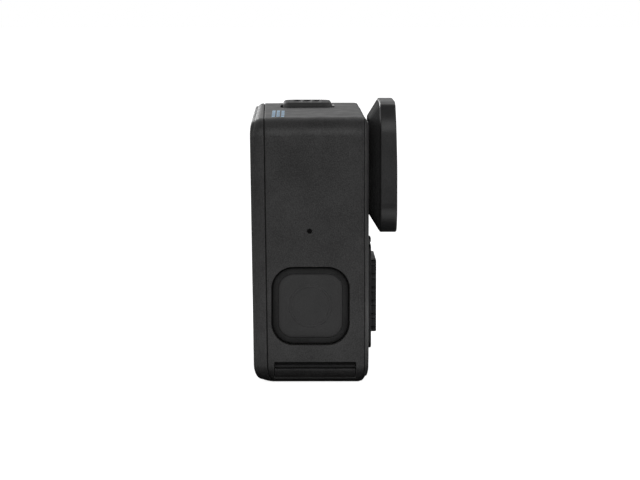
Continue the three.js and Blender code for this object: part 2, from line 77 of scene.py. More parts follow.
KEY_LOW, KEY_HIGH = node_box("shutter_button")
KEY_X = (KEY_LOW[0] + KEY_HIGH[0]) / 2
KEY_Y = (KEY_LOW[1] + KEY_HIGH[1]) / 2

HINGE_X, HINGE_Z, HINGE_R = 34.925, 42.575, 0.925
SEAM_REAR_HOUSING = 11.3
SEAM_FRONT_HOUSING = -7.72
RECESS_SIZE, RECESS_R = 14.94, 4.2
PAD_SIZE = 12.25
SHUTTER_TOP = 51.8
GUARD_FRONT = -14.12
GUARD_BACK = -8.75

# ------------------------------------------------------------------ mesh helpers


def smoothstep(a, b, v):
    t = min(1.0, max(0.0, (v - a) / (b - a)))
    return t * t * (3 - 2 * t)


def rounded_rect(width, height, radius, cx=0.0, cy=0.0, arc=6, nx=1, ny=1):
    """A closed outline of (u, v), counter-clockwise, with straight sides split into nx and ny parts."""
    x, y = width / 2 - radius, height / 2 - radius
    centres = [(cx + x, cy + y), (cx - x, cy + y), (cx - x, cy - y), (cx + x, cy - y)]
    points = []
    for i, (px, py) in enumerate(centres):
        for k in range(arc + 1):
            a = math.radians(90 * i + 90 * k / arc)
            points.append((px + radius * math.cos(a), py + radius * math.sin(a)))
        qx, qy = centres[(i + 1) % 4]
        a = math.radians(90 * (i + 1))
        end = (qx + radius * math.cos(a), qy + radius * math.sin(a))
        start = points[-1]
        parts = nx if i % 2 == 0 else ny
        for k in range(1, parts):
            t = k / parts
            points.append((start[0] + (end[0] - start[0]) * t, start[1] + (end[1] - start[1]) * t))
    return points


def rect_between(u0, u1, v0, v1, radius, **kw):
    return rounded_rect(u1 - u0, v1 - v0, radius, (u0 + u1) / 2, (v0 + v1) / 2, **kw)


def along_x(outline, x):
    return [(x, u, v) for u, v in outline]


def along_y(outline, y):
    return [(u, y, v) for u, v in outline]


def along_z(outline, z):
    return [(u, v, z) for u, v in outline]


def new_object(name, verts, faces, merge=0.0005):
    """A clean mesh object from points in millimetres; points closer than merge become one."""
    bm = bmesh.new()
    made = [bm.verts.new([c * MM for c in v]) for v in verts]
    for face in faces:
        bm.faces.new([made[i] for i in face])
    bmesh.ops.remove_doubles(bm, verts=bm.verts, dist=merge * MM)
    bmesh.ops.dissolve_degenerate(bm, edges=bm.edges, dist=merge * MM * 0.5)
    bmesh.ops.recalc_face_normals(bm, faces=bm.faces)
    mesh = bpy.data.meshes.new(name)
    bm.to_mesh(mesh)
    bm.free()
    obj = bpy.data.objects.new(name, mesh)
    bpy.context.scene.collection.objects.link(obj)
    return obj


def loft(name, rings, loop=False):
    """A closed solid through rings of equally many points; loop joins the last ring to the first."""
    n = len(rings[0])
    verts = [p for ring in rings for p in ring]
    faces = []
    last = len(rings) if loop else len(rings) - 1
    for i in range(last):
        a, b = i * n, ((i + 1) % len(rings)) * n
        for k in range(n):
            j = (k + 1) % n
            faces.append((a + k, a + j, b + j, b + k))
    if not loop:
        faces.append(tuple(range(n)))
        faces.append(tuple(range((len(rings) - 1) * n, len(rings) * n)))
    return new_object(name, verts, faces)


def lathe_y(name, profile, cx, cz, sides=96):
    """A solid turned about an axis along Y through (cx, cz); the profile is [radius, y] and closes on itself."""
    rings = []
    for k in range(sides):
        a = 2 * math.pi * k / sides
        rings.append([(cx + r * math.cos(a), y, cz + r * math.sin(a)) for r, y in profile])
    return loft(name, rings, loop=True)


def evaluated(obj):
    """Turns the object's modifiers into plain mesh."""
    graph = bpy.context.evaluated_depsgraph_get()
    graph.update()
    mesh = bpy.data.meshes.new_from_object(obj.evaluated_get(graph))
    obj.modifiers.clear()
    obj.data = mesh
    return obj


def boolean(obj, tools, operation="DIFFERENCE"):
    """Cuts the tools from the object, or joins them to it, and removes the tools."""
    for tool in tools:
        m = obj.modifiers.new("cut", "BOOLEAN")
        m.operation = operation
        m.solver = "EXACT"
        m.object = tool
        evaluated(obj)
        bpy.data.objects.remove(tool)
    return obj


def shade(obj, angle=38):
    """Smooth shading with sharp edges kept above the angle."""
    mesh = obj.data
    mesh.polygons.foreach_set("use_smooth", [True] * len(mesh.polygons))
    mesh.set_sharp_from_angle(angle=math.radians(angle))
    m = obj.modifiers.new("normals", "WEIGHTED_NORMAL")
    m.keep_sharp = True
    m.weight = 100
    return obj


def finish_piece(obj, body, material, replaces=(), angle=38):
    """Gives a piece its finish, the body it rides on and the CAD nodes it stands for."""
    obj.data.materials.clear()
    obj.data.materials.append(material)
    shade(obj, angle)
    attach(obj, body)
    if replaces:
        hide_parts(*replaces)
    return obj


# ------------------------------------------------------------------ materials


class Nodes:
    """Short names for building one material's node tree."""

    def __init__(self, name):
        self.material = bpy.data.materials.new(name)
        self.material.use_nodes = True
        self.tree = self.material.node_tree
        self.shader = self.tree.nodes["Principled BSDF"]
        self.coords = self.tree.nodes.new("ShaderNodeTexCoord").outputs["Object"]

    def link(self, source, target):
        self.tree.links.new(source, target)

    def noise(self, scale, detail=2.0, rough=0.5, stretch=None):
        node = self.tree.nodes.new("ShaderNodeTexNoise")
        node.inputs["Scale"].default_value = scale
        node.inputs["Detail"].default_value = detail
        node.inputs["Roughness"].default_value = rough
        source = self.coords
        if stretch:
            mapping = self.tree.nodes.new("ShaderNodeMapping")
            mapping.inputs["Scale"].default_value = stretch
            self.link(source, mapping.inputs["Vector"])
            source = mapping.outputs["Vector"]
        self.link(source, node.inputs["Vector"])
        return node.outputs["Fac"]

    def voronoi(self, scale):
        node = self.tree.nodes.new("ShaderNodeTexVoronoi")
        node.inputs["Scale"].default_value = scale
        self.link(self.coords, node.inputs["Vector"])
        return node.outputs["Distance"]

    def ramp(self, value, low, high, out_low=0.0, out_high=1.0):
        node = self.tree.nodes.new("ShaderNodeMapRange")
        node.inputs["From Min"].default_value = low
        node.inputs["From Max"].default_value = high
        node.inputs["To Min"].default_value = out_low
        node.inputs["To Max"].default_value = out_high
        self.link(value, node.inputs["Value"])
        return node.outputs["Result"]

    def math(self, operation, a, b):
        node = self.tree.nodes.new("ShaderNodeMath")
        node.operation = operation
        for socket, value in zip(node.inputs, (a, b)):
            if isinstance(value, (int, float)):
                socket.default_value = value
            else:
                self.link(value, socket)
        return node.outputs["Value"]

    def mix(self, factor, a, b):
        node = self.tree.nodes.new("ShaderNodeMix")
        node.data_type = "RGBA"
        self.link(factor, node.inputs["Factor"])
        for socket, value in ((node.inputs["A"], a), (node.inputs["B"], b)):
            if isinstance(value, (tuple, list)):
                socket.default_value = (*value[:3], 1.0)
            else:
                self.link(value, socket)
        return node.outputs["Result"]

    def edges(self, radius):
        """1 on sharp edges and 0 on flat surfaces, from how far a rounded normal leans."""
        node = self.tree.nodes.new("ShaderNodeBevel")
        node.samples = 4
        node.inputs["Radius"].default_value = radius
        geometry = self.tree.nodes.new("ShaderNodeNewGeometry")
        dot = self.tree.nodes.new("ShaderNodeVectorMath")
        dot.operation = "DOT_PRODUCT"
        self.link(node.outputs["Normal"], dot.inputs[0])
        self.link(geometry.outputs["Normal"], dot.inputs[1])
        return self.ramp(dot.outputs["Value"], 0.98, 0.80)

    def bump(self, height, strength, distance):
        node = self.tree.nodes.new("ShaderNodeBump")
        node.inputs["Strength"].default_value = strength
        node.inputs["Distance"].default_value = distance
        self.link(height, node.inputs["Height"])
        self.link(node.outputs["Normal"], self.shader.inputs["Normal"])

    def set(self, **values):
        for name, value in values.items():
            socket = self.shader.inputs[name.replace("_", " ")]
            if isinstance(value, bpy.types.NodeSocket):
                self.link(value, socket)
            else:
                socket.default_value = value


def speckled_plastic(name, dark, light, rough=(0.36, 0.48), grain=4200.0, bump=0.3, specular=0.45):
    """Moulded, fine-grained plastic: speckle, slow blotches, rubbed edges."""
    n = Nodes(name)
    fine = n.noise(grain, 2.0, 0.6)
    slow = n.noise(160.0, 3.0, 0.55)
    speckle = n.math("ADD", n.math("MULTIPLY", fine, 0.65), n.math("MULTIPLY", slow, 0.35))
    tone = n.ramp(speckle, 0.38, 0.62)
    base = n.mix(tone, dark, light)
    edge = n.math("MULTIPLY", n.edges(0.0004), n.ramp(n.noise(900.0, 3.0), 0.42, 0.62, 0.0, 0.55))
    worn = tuple(c * 1.9 for c in light)
    n.set(Base_Color=n.mix(edge, base, worn), Roughness=n.ramp(n.noise(420.0, 3.0), 0.3, 0.7, *rough))
    n.set(Specular_IOR_Level=specular)
    n.bump(n.math("ADD", n.voronoi(grain * 0.8), n.math("MULTIPLY", fine, 0.6)), bump, 0.00005)
    return n.material


def metal(name, colour, rough=(0.28, 0.42), stretch=(1, 1, 1), metallic=1.0, grain=900.0, bump=0.12):
    """Machined or anodised metal with drawn grain and bright edges."""
    n = Nodes(name)
    lines = n.noise(grain, 4.0, 0.6, stretch)
    tone = n.ramp(lines, 0.3, 0.7)
    dark = tuple(c * 0.82 for c in colour)
    light = tuple(min(1.0, c * 1.15) for c in colour)
    edge = n.math("MULTIPLY", n.edges(0.0003), n.ramp(n.noise(1300.0, 3.0), 0.4, 0.65, 0.0, 0.7))
    n.set(
        Base_Color=n.mix(edge, n.mix(tone, dark, light), tuple(min(1.0, c * 2.2) for c in colour)),
        Roughness=n.ramp(n.noise(600.0, 3.0), 0.3, 0.7, *rough),
        Metallic=metallic,
    )
    n.bump(lines, bump, 0.00004)
    return n.material


def rubber(name, colour):
    """Matte rubber with a fine tooth and slightly paler edges."""
    n = Nodes(name)
    fine = n.noise(3200.0, 3.0)
    tone = n.ramp(n.noise(240.0, 3.0), 0.35, 0.65)
    edge = n.math("MULTIPLY", n.edges(0.0003), 0.4)
    base = n.mix(tone, tuple(c * 0.8 for c in colour), tuple(c * 1.25 for c in colour))
    n.set(Base_Color=n.mix(edge, base, tuple(c * 2.4 for c in colour)))
    n.set(Roughness=n.ramp(fine, 0.3, 0.7, 0.78, 0.95))
    n.bump(fine, 0.3, 0.00005)
    return n.material


def screen_glass(name):
    """Black-backed cover glass with a faint smear and a little dust."""
    n = Nodes(name)
    smear = n.ramp(n.noise(60.0, 5.0, 0.6), 0.35, 0.75)
    dust = n.ramp(n.noise(2600.0, 2.0), 0.66, 0.74)
    base = n.mix(smear, (0.0035, 0.0036, 0.004), (0.006, 0.0062, 0.007))
    n.set(Base_Color=n.mix(n.math("MULTIPLY", dust, 0.35), base, (0.05, 0.05, 0.05)))
    n.set(Roughness=n.ramp(n.noise(90.0, 5.0, 0.65), 0.3, 0.75, 0.035, 0.12))
    n.set(Specular_IOR_Level=0.55, Coat_Weight=0.5)
    n.bump(n.noise(35.0, 2.0), 0.03, 0.0001)
    return n.material


def clear_glass(name, tint, rough=0.02):
    """Clear glass with a slight tint and a faint smear."""
    n = Nodes(name)
    smear = n.noise(120.0, 4.0, 0.6)
    n.set(Base_Color=n.mix(n.ramp(smear, 0.3, 0.7), tint, tuple(min(1, c * 1.04) for c in tint)))
    n.set(Roughness=n.ramp(smear, 0.35, 0.8, rough, rough + 0.04))
    n.set(Transmission_Weight=1.0, IOR=1.5)
    n.bump(n.noise(40.0, 2.0), 0.02, 0.00005)
    return n.material


def circuit_board(name):
    """Solder mask over copper tracks."""
    n = Nodes(name)
    cells = n.voronoi(520.0)
    tracks = n.ramp(n.noise(700.0, 2.0, 0.4, (1, 0.2, 1)), 0.52, 0.56)
    base = n.mix(n.ramp(cells, 0.1, 0.5), (0.006, 0.06, 0.03), (0.012, 0.1, 0.05))
    n.set(Base_Color=n.mix(tracks, base, (0.05, 0.2, 0.1)))
    n.set(Roughness=n.ramp(n.noise(500.0), 0.3, 0.7, 0.35, 0.55))
    n.bump(tracks, 0.3, 0.00005)
    return n.material


SHELL = speckled_plastic("shell_plastic", (0.0145, 0.0142, 0.0143), (0.043, 0.0424, 0.0426))
COVER = speckled_plastic("cover_plastic", (0.016, 0.0157, 0.0158), (0.041, 0.0404, 0.0406), rough=(0.36, 0.46))
BUTTON = speckled_plastic(
    "button_plastic", (0.028, 0.0277, 0.028), (0.038, 0.0376, 0.038),
    rough=(0.5, 0.6), grain=5200.0, bump=0.15, specular=0.35,
)
BASE = speckled_plastic("base_plastic", (0.010, 0.010, 0.0105), (0.02, 0.02, 0.021), rough=(0.6, 0.75))
GUARD = speckled_plastic(
    "guard_anodised", (0.014, 0.014, 0.0145), (0.026, 0.026, 0.0265),
    rough=(0.28, 0.38), grain=5200.0, bump=0.18, specular=0.5,
)
# A paler, rougher copy of the guard's finish for its neck next to the body: painted light.
NECK_PAINTED_LIGHT = speckled_plastic(
    "guard_neck_painted_light", (0.032, 0.032, 0.0323), (0.052, 0.052, 0.0525),
    rough=(0.75, 0.88), grain=3600.0, bump=0.4, specular=0.12,
)
SINK = metal("sink_anodised", (0.03, 0.03, 0.031), rough=(0.4, 0.55), stretch=(0.2, 1, 1))
FINGER = speckled_plastic(
    "finger_paint", (0.014, 0.014, 0.0145), (0.028, 0.028, 0.0285),
    rough=(0.34, 0.5), grain=3600.0,
)
STEEL = metal("bare_steel", (0.5, 0.5, 0.51), stretch=(1, 0.15, 1))
CAN = metal("tinned_can", (0.56, 0.56, 0.55), rough=(0.3, 0.5))
LENS_BLACK = speckled_plastic(
    "lens_black", (0.003, 0.003, 0.0032), (0.008, 0.008, 0.0085),
    rough=(0.4, 0.6), grain=6000.0,
)
RUBBER = rubber("seal_rubber", (0.010, 0.010, 0.0102))
SCREEN = screen_glass("screen_glass")
GUARD_GLASS = clear_glass("guard_glass", (0.93, 0.97, 0.98))
LENS_GLASS = clear_glass("lens_glass", (0.62, 0.68, 0.9), 0.01)
BOARD = circuit_board("circuit_board")
BATTERY = speckled_plastic("battery_wrap", (0.02, 0.024, 0.03), (0.035, 0.04, 0.05), rough=(0.4, 0.55))
TAB = speckled_plastic("pull_tab_film", (0.12, 0.26, 0.42), (0.18, 0.34, 0.5), rough=(0.4, 0.6))
SENSOR = metal("sensor_stack", (0.06, 0.03, 0.16), rough=(0.08, 0.2), metallic=0.6)
DISPLAY = speckled_plastic("display_back", (0.008, 0.008, 0.01), (0.02, 0.02, 0.022), rough=(0.3, 0.5))
MARK = speckled_plastic("pale_print", (0.36, 0.55, 0.74), (0.5, 0.68, 0.86), rough=(0.45, 0.6), grain=6000.0, bump=0.15)
# Near-black finish for pieces put deep in openings and seams: painted shade.
PAINTED_SHADE = rubber("painted_recess_shade", (0.0015, 0.0015, 0.0015))
# A finish darker than the key pad, for the ring round the key.
SURROUND = rubber("key_ring_darker", (0.015, 0.015, 0.0151))

# ------------------------------------------------------------------ the body's outer form

UNDERCUT_FRONT, UNDERCUT_REAR = 1.25, 2.3  # how far the lower edges are rounded under
SEAM_DRIFT = 0.5  # how far the rear seam moves back across the top


def body_form(x, y, z):
    """Bends a plain rounded box into the body: the base is a little shallower than the top, the lower
    edges are rounded under at front and rear, and the top falls away towards the rear."""
    rear = smoothstep(11.6, BODY_REAR, y)
    front = smoothstep(-5.5, BODY_FRONT, y)
    lip = min(1.0, max(0.0, (-7.7 - y) / 0.9))
    low = min(1.0, max(0.0, (3.7 - z) / 3.7))
    under = 1 - math.sqrt(max(0.0, 1 - low * low))
    high = min(1.0, max(0.0, (z - 47.4) / (BODY_H - 47.4)))
    over = min(1.0, max(0.0, (z - 49.0) / (BODY_H - 49.0)))
    far_side = min(1.0, max(0.0, (x + 32.4) / 19.9))
    y += UNDERCUT_FRONT * under * front - UNDERCUT_REAR * under * smoothstep(7.0, BODY_REAR, y)
    y -= 0.43 * high ** 2.2 * rear
    y += (0.2 + 0.67 * far_side) * over ** 1.2 * lip
    z -= (0.12 * smoothstep(2.0, 11.0, y) + 0.2 * smoothstep(11.2, 14.0, y)) * smoothstep(44.0, 50.0, z)
    drift = min(1.0, max(0.0, (x + 32.4) / 64.8)) * smoothstep(9.0, 11.2, y) * (1 - smoothstep(11.6, 13.4, y))
    y += SEAM_DRIFT * drift
    depth = y - BODY_FRONT
    y -= depth * DEPTH_TAPER * (1 - z / BODY_H)
    return (x, y, z)


def body_ring(y, inset, most=9.0):
    """One outline of the body, drawn in by inset; top and bottom are drawn in by no more than most."""
    outline = rounded_rect(
        2 * HALF_W - 2 * inset,
        BODY_H - 2 * min(inset, most),
        max(0.8, CORNER_R - 0.6 * inset),
        0,
        BODY_H / 2,
        arc=10,
        nx=28,
        ny=20,
    )
    return along_y(outline, y)


def plain_ring(x0, x1, z0, z1, radius, y):
    """An inner outline with as many points as the body's own."""
    return along_y(rect_between(x0, x1, z0, z1, radius, arc=10, nx=28, ny=20), y)


def arc_steps(count):
    """Angles from 0 to a right angle."""
    return [math.radians(90 * k / count) for k in range(count + 1)]


def recess_cutter_x(name, cy, cz, width, height, radius, levels):
    """A cutter along X: levels are (x, how much smaller the outline is there)."""
    rings = []
    for x, shrink in levels:
        outline = rounded_rect(width - 2 * shrink, height - 2 * shrink, max(0.3, radius - shrink), cy, cz, arc=12)
        rings.append(along_x(outline, x))
    return loft(name, rings)


def circle(cx, cy, radius, sides):
    """A round outline of (u, v) with its first point at +u."""
    turns = [2 * math.pi * k / sides for k in range(sides)]
    return [(cx + radius * math.cos(a), cy + radius * math.sin(a)) for a in turns]


def rod_x(name, cy, cz, radius, x0, x1, sides=32):
    outline = circle(cy, cz, radius, sides)
    return loft(name, [along_x(outline, x0), along_x(outline, x1)])


def rod_y(name, cx, cz, radius, y0, y1, sides=64):
    outline = circle(cx, cz, radius, sides)
    return loft(name, [along_y(outline, y0), along_y(outline, y1)])


def rod_z(name, cx, cy, radius, z0, z1, sides=48):
    outline = circle(cx, cy, radius, sides)
    return loft(name, [along_z(outline, z0), along_z(outline, z1)])


def formed(profile, **kw):
    """The body's outlines for a list of (y, inset), bent into its outer form."""
    return [[body_form(*p) for p in body_ring(y, inset, **kw)] for y, inset in profile]


def make_main_housing():
    """The moulded shell, with its recesses for keys, slot, door, base and lens."""
    profile = [(-7.74, 0.3), (-7.66, 0.16), (-7.5, 0.08), (-7.3, 0.03), (-7.0, 0.0), (-6.0, 0.0), (-5.0, 0.0)]
    profile += [(-2.0, 0.0), (2.0, 0.0), (5.0, 0.0), (7.0, 0.0), (8.5, 0.0), (9.6, 0.0), (10.5, 0.0)]
    profile += [(11.15, 0.0), (11.26, 0.04), (SEAM_REAR_HOUSING, 0.12)]
    rings = formed(profile)
    cavity = (-34.0, 32.5, 2.0, 48.6, 2.0)
    for y in (11.28, SEAM_FRONT_HOUSING):
        rings.append([body_form(*p) if y > 0 else p for p in plain_ring(*cavity, y)])
    housing = loft("housing_shell", rings, loop=True)
    mouth_door = rect_between(-4.6, 7.6, 5.4, 41.0, 1.6, arc=8)
    door = [rect_between(-6.1 - g, 9.1 + g, 4.25 - g, 43.8 + g, 0.6 + g, arc=8) for g in (0.0, 0.0, 0.12, 0.3)]
    door_x = (33.9, 35.7, 35.82, 36.2)
    base = rect_between(-26.12, 26.12, -6.82, 9.72, 1.6, arc=8)
    power = [(-36.6, -0.4), (-35.96, -0.14), (-35.88, -0.07), (-35.8, 0.0), (-34.5, 0.0)]
    key = [rounded_rect(16.8 + 2 * g, 10.9 + 2 * g, 2.7 + g, KEY_X, KEY_Y, arc=10) for g in (0, 0, 0.08, 0.25, 0.6)]
    key_z = (48.9, 50.45, 50.65, 50.8, 51.2)
    tools = [
        recess_cutter_x("power_recess", PAD_Y, PAD_Z, RECESS_SIZE, RECESS_SIZE, RECESS_R, power),
        rod_x("power_bore", PAD_Y, PAD_Z, 2.2, -40, -30),
        rod_x("microphone_bore", MIC_Y, MIC_Z, 0.5, -40, -33, 24),
        loft("shutter_recess", [along_z(o, z) for o, z in zip(key, key_z)]),
        rod_z("shutter_bore", KEY_X, KEY_Y, 2.05, 45, 50),
        loft("door_recess", [along_x(o, x) for o, x in zip(door, door_x)]),
        loft("door_mouth", [along_x(mouth_door, x) for x in (31.0, 35.0)]),
        loft("base_recess", [along_z(base, z) for z in (-1.0, 5.7)]),
        loft("low_slot", [along_x(rect_between(-6.17, 9.52, -3.0, 4.2, 0.25, arc=4), x) for x in (-40.0, -34.7)]),
        rod_y("lens_bore", LENS_X, LENS_Z, 8.1, -9.0, -6.85),
    ]
    boolean(housing, tools)
    return finish_piece(housing, "camera_body", SHELL, ["main_housing"], angle=32)


def make_front_cover():
    """The plate that closes the front, open at the lens, screen and heat sink."""
    profile = [(-7.77, 0.2), (-7.79, 0.12), (-7.84, 0.1), (-7.93, 0.18), (-8.05, 0.38), (-8.17, 0.68)]
    profile += [(-8.3, 1.0), (-8.41, 1.35), (-8.5, 1.75), (-8.56, 2.25), (-8.6, 3.0), (-8.6, 4.0), (-8.6, 5.0)]
    rings = formed(profile, most=1.0)
    cover = loft("front_plate", rings)
    glass = rect_between(-1.1, 32.7, 5.9, 46.1, 2.1, arc=10)
    glass_lip = rect_between(-1.3, 32.9, 5.7, 46.3, 2.3, arc=10)
    tools = [
        rod_y("lens_opening", LENS_X, LENS_Z, 7.93, -12, -5, 96),
        loft("screen_opening", [along_y(glass, -5.0), along_y(glass, -8.45), along_y(glass_lip, -8.62), along_y(glass_lip, -9.5)]),
        loft("heat_sink_opening", [along_y(rect_between(-29.2, -10.8, 8.4, 24.0, 1.2), y) for y in (-12.0, -5.0)]),
        rod_y("light_hole", -4.0, 29.0, 0.9, -12, -5, 32),
    ]
    boolean(cover, tools)
    return finish_piece(cover, "camera_body", COVER, ["front_cover"], angle=32)


def make_rear_cover():
    """The bezel ring round the rear screen."""
    profile = [(11.48, 0.12), (11.52, 0.03), (11.62, 0.0), (12.1, 0.02), (12.5, 0.07)]
    profile += [(12.9, 0.15), (13.2, 0.24), (13.4, 0.32), (13.45, 0.36)]
    rings = formed(profile)
    for y in (13.4, 11.52):
        rings.append([body_form(*p) for p in plain_ring(-32.4, 31.9, 5.8, 46.4, 1.0, y)])
    cover = loft("rear_bezel", rings, loop=True)
    return finish_piece(cover, "camera_body", COVER, ["rear_cover"], angle=32)


def make_rear_glass():
    """The edge ring and the glass it holds."""
    profile = [(13.47, 1.75), (13.47, 0.42), (13.49, 0.38), (13.55, 0.38), (13.7, 0.42)]
    profile += [(13.8 + 0.33 * math.sin(a), 0.46 + 0.35 * (1 - math.cos(a))) for a in arc_steps(6)]
    profile += [(14.13, 1.4), (14.11, 1.6), (14.05, 1.75)]
    rings = formed(profile)
    frame_ring = loft("rear_frame", rings, loop=True)
    finish_piece(frame_ring, "camera_body", COVER, angle=32)
    profile = [(13.56, 1.9), (13.56, 1.82), (13.95, 1.82), (14.02, 1.86), (14.06, 1.98)]
    profile += [(14.07, 2.3), (14.07, 3.2), (14.07, 4.2)]
    rings = formed(profile)
    glass = loft("rear_glass", rings)
    return finish_piece(glass, "camera_body", SCREEN, ["rear_screen_glass"], angle=32)


def make_front_glass():
    """The small screen beside the lens."""
    outlines = []
    for y, inset in [(-7.93, 0.0), (-8.5, 0.0), (-8.6, 0.03), (-8.66, 0.1), (-8.68, 0.22)]:
        edge = rect_between(-0.9 + inset, 32.5 - inset, 6.1 + inset, 45.9 - inset, 2.0 - inset, arc=12)
        outlines.append(along_y(edge, y))
    glass = loft("front_glass", outlines)
    return finish_piece(glass, "camera_body", SCREEN, ["front_screen_glass"])


def join(name, parts):
    """One object from several."""
    bm = bmesh.new()
    for part in parts:
        bm.from_mesh(part.data)
    mesh = bpy.data.meshes.new(name)
    bm.to_mesh(mesh)
    bm.free()
    for part in parts:
        bpy.data.objects.remove(part)
    obj = bpy.data.objects.new(name, mesh)
    bpy.context.scene.collection.objects.link(obj)
    return obj


def make_heat_sink():
    """A plate with a fluted, ribbed block, a stem through the front and a contact pad behind."""
    plate = []
    for y, inset in [(-8.62, 0.1), (-8.66, 0.0), (-8.9, 0.0), (-9.02, 0.05), (-9.08, 0.14), (-9.1, 0.28)]:
        plate.append(along_y(rect_between(-32 + inset, -8 - inset, 6.3 + inset, 26.2 - inset, 1.4, arc=8), y))
    whole = loft("sink_plate", plate)
    stem = loft("sink_stem", [along_y(rect_between(-29, -11, 8.6, 23.8, 1.0, arc=4), y) for y in (-8.7, -6.6)])
    contact = loft("sink_contact", [along_y(rect_between(-27.5, -12.5, 9.6, 23.2, 0.8, arc=4), y) for y in (-6.8, 0.6)])
    block = []
    for y, inset in [(-8.9, 0.0), (-9.98, 0.0), (-10.06, 0.03), (-10.11, 0.09), (-10.13, 0.18)]:
        block.append(along_y(rect_between(-29.6 + inset, -10.4 - inset, 9.25 + inset, 23.15 - inset, 0.5, arc=5), y))
    ribs = loft("sink_ribs", block)
    cuts = []
    for k in range(6):
        z = 9.75 + 2.55 * k
        channel = rounded_rect(0.9, 1.6, 0.42, z, -10.0, arc=5)
        for x0, x1, deep in ((-28.9, -11.1, 0.0), (-40.0, -29.38, 0.0)):
            cuts.append(loft(f"channel_{k}", [[(x, v - deep, u) for u, v in channel] for x in (x0, x1)]))
        turns = [2 * math.pi * i / 20 for i in range(20)]
        flute = [(-29.72 + 0.42 * math.cos(a), z + 0.62 * math.sin(a)) for a in turns]
        cuts.append(loft(f"flute_{k}", [[(x, y, v) for x, v in flute] for y in (-11.0, -9.12)]))
    boolean(ribs, cuts)
    crest = []
    for y, g in ((-9.0, 0.0), (-9.4, 0.0), (-9.52, 0.1), (-9.56, 0.25)):
        crest.append(along_y(rect_between(-12.0 + g, -8.3 - g, 24.9 + g, 26.0 - g, 0.3, arc=4), y))
    ridge = loft("sink_ridge", crest)
    parts = [stem, contact, ribs, ridge]
    boolean(whole, parts, "UNION")
    whole.name = "heat_sink_block"
    return finish_piece(whole, "camera_body", SINK, ["heat_sink"], angle=30)


def guard_ring(width, height, radius, y, arc=18):
    """One outline of the guard; its top is crowned into the corners and leans back a little."""
    outline = rounded_rect(width, height, radius, LENS_X, LENS_Z, arc=arc, nx=6, ny=8)
    lean = 0.34 * smoothstep(-10.5, -14.0, y)
    crown = 0.34 * smoothstep(20.0, 24.0, width)
    ring = []
    for u, v in outline:
        back = lean * max(0.0, (v - 40.0) / 13.6) ** 1.3
        rise, reach = v - (LENS_Z + height / 2 - radius), abs(u - LENS_X) - (width / 2 - radius)
        if rise > 0 and reach > 0:
            turn = math.degrees(math.atan2(rise, reach))
            v += crown * math.exp(-(((turn - 55.0) / 10.0) ** 2))
        ring.append((u, y + back, v))
    return ring


def make_lens_guard():
    """The bevelled square guard, thick at the front and necked down to the body."""
    rings = [
        guard_ring(20.76, 19.96, 3.6, -12.62),
        guard_ring(20.76, 19.96, 3.6, -13.8),
        guard_ring(20.86, 20.06, 3.65, -13.95),
        guard_ring(21.06, 20.26, 3.75, -14.07),
        guard_ring(21.4, 20.6, 3.9, GUARD_FRONT),
        guard_ring(25.2, 24.9, 5.6, GUARD_FRONT),
    ]
    for a in arc_steps(5)[1:]:
        rest = 1 - math.sin(a)
        width, height = 26.2 - 0.85 * rest, 25.4 - 0.45 * rest
        rings.append(guard_ring(width, height, 6.0 - 0.35 * rest, GUARD_FRONT + 0.42 * (1 - math.cos(a))))
    rings += [
        guard_ring(26.2, 25.4, 6.0, -12.5),
        guard_ring(26.2, 25.4, 6.0, -11.15),
        guard_ring(26.14, 25.34, 5.97, -10.98),
        guard_ring(26.0, 25.2, 5.91, -10.88),
        guard_ring(25.8, 25.0, 5.82, -10.8),
        guard_ring(25.5, 24.7, 5.65, -10.72),
        guard_ring(25.0, 24.2, 5.4, -10.54),
        guard_ring(22.3, 21.5, 4.15, -9.7),
        guard_ring(19.7, 18.9, 2.95, -8.9),
        guard_ring(19.2, 18.4, 2.7, GUARD_BACK),
        guard_ring(16.4, 16.4, 8.2, GUARD_BACK),
        guard_ring(16.4, 16.4, 8.2, -10.8),
        guard_ring(18.3, 18.3, 9.15, -10.85),
        guard_ring(18.3, 18.3, 9.15, -12.4),
        guard_ring(18.5, 17.7, 3.0, -12.45),
        guard_ring(18.5, 17.7, 3.0, -12.62),
    ]
    guard = loft("lens_guard_rim", rings, loop=True)
    finish_piece(guard, "lens_guard", GUARD, ["lens_guard_frame"], angle=30)
    # The neck's faces take the paler copy of the guard's finish: painted light.
    guard.data.materials.append(NECK_PAINTED_LIGHT)
    for face in guard.data.polygons:
        if face.center.y > -10.7 * MM:
            face.material_index = 1
    return guard


def make_guard_glass():
    """The flat window in the guard."""
    rings = []
    for y, inset in [(-12.62, 0.16), (-12.72, 0.04), (-12.9, 0.0), (-13.5, 0.0), (-13.66, 0.06), (-13.75, 0.2)]:
        rings.append(guard_ring(20.6 - 2 * inset, 19.8 - 2 * inset, 3.6 - inset, y))
    glass = loft("guard_window", rings)
    return finish_piece(glass, "lens_guard", GUARD_GLASS, ["lens_guard_glass"])


